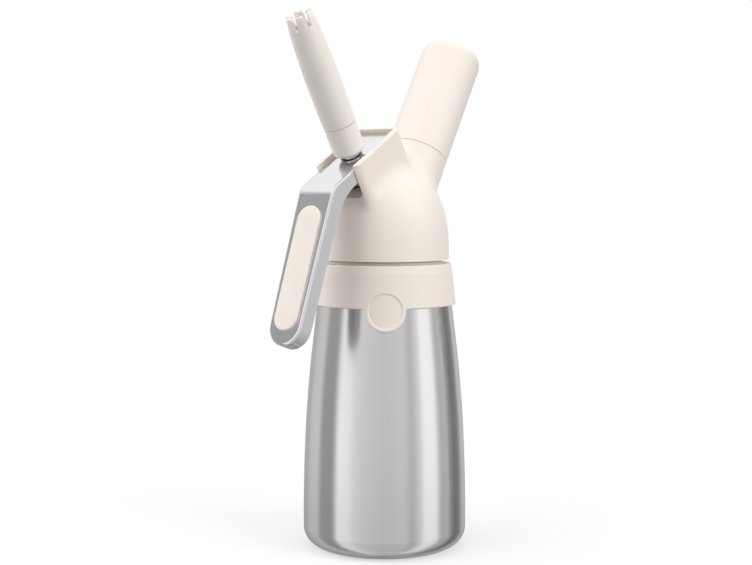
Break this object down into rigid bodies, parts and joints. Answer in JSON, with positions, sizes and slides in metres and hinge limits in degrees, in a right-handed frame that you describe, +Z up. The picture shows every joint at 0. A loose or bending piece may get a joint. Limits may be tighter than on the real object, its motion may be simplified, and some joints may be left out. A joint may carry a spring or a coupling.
{
  "type": "whipped cream dispenser",
  "caption": "Steel bottle with a moulded head, squeeze lever with soft pad, leaning nozzle with a pronged tip, and a leaning gas charger holder.",
  "frame": {"origin": "centre of the bottle's base, on the plane it stands on", "axes": "+Z up along the bottle's axis, -X towards the lever and nozzle, +X towards the charger holder"},
  "size_m": [0.151, 0.0844, 0.2707],
  "materials": {
    "steel": "satin",
    "soft_cream": "matte silicone",
    "seal_rubber": "matte",
    "cream_shell": "satin moulding",
    "thread_metal": "turned",
    "brass_fitting": "nickel plated",
    "needle_steel": "turned",
    "polished_steel": "polished",
    "pad_cream": "soft touch",
    "spring_steel": "drawn wire",
    "adapter_cream": "satin moulding",
    "tip_cream": "satin moulding",
    "charger_steel": "plated"
  },
  "bodies": {
    "bottle": {"bottle_shell": "steel", "neck_ring": "steel", "silicone_band": "soft_cream"},
    "gasket": {"head_gasket": "seal_rubber"},
    "head": {"head_housing": "cream_shell", "head_thread_ring": "thread_metal", "valve_guide": "brass_fitting", "stem_o_ring": "seal_rubber", "charger_port": "brass_fitting", "piercing_pin": "needle_steel", "piercing_seal": "seal_rubber", "check_valve": "seal_rubber", "lever_pin": "needle_steel"},
    "lever": {"lever": "polished_steel", "lever_pad": "pad_cream"},
    "valve": {"valve_stem": "needle_steel", "valve_seal": "seal_rubber", "valve_spring": "spring_steel"},
    "adapter": {"tip_adapter": "adapter_cream", "adapter_o_ring": "seal_rubber"},
    "tip": {"decorating_tip": "tip_cream"},
    "charger": {"charger": "charger_steel"},
    "holder": {"holder_liner": "thread_metal", "holder_cover": "cream_shell"}
  },
  "joints": [
    {"name": "head_lift", "type": "slide", "parent": "bottle", "child": "gasket", "axis": [0, 0, 1], "range_m": [0, 0.1]},
    {"name": "head_turn", "type": "hinge", "parent": "gasket", "child": "head", "pos_m": [0, 0, 0.164], "axis": [0, 0, 1], "range_deg": [0, 1080]},
    {"name": "lever_squeeze", "type": "hinge", "parent": "head", "child": "lever", "pos_m": [-0.00774, 0, 0.20657], "axis": [0, -1, 0], "range_deg": [0, 8]},
    {"name": "valve_press", "type": "slide", "parent": "head", "child": "valve", "axis": [0.5075, 0, -0.8616], "range_m": [0, 0.00365], "stiffness_N_per_m": 1500, "springref_m": -0.004, "deforming": ["valve_spring"]},
    {"name": "adapter_off", "type": "slide", "parent": "valve", "child": "adapter", "axis": [-0.5075, 0, 0.8616], "range_m": [0, 0.012]},
    {"name": "tip_off", "type": "slide", "parent": "adapter", "child": "tip", "axis": [-0.5075, 0, 0.8616], "range_m": [0, 0.014]},
    {"name": "charger_out", "type": "slide", "parent": "head", "child": "charger", "axis": [0.5075, 0, 0.8616], "range_m": [0, 0.075]},
    {"name": "holder_turn", "type": "hinge", "parent": "charger", "child": "holder", "pos_m": [0, 0, 0.156], "axis": [0.5075, 0, 0.8616], "range_deg": [0, 1080]}
  ],
  "couplings": [
    {"joint": "valve_press", "follows": "lever_squeeze", "m_per_rad": 0.026}
  ]
}
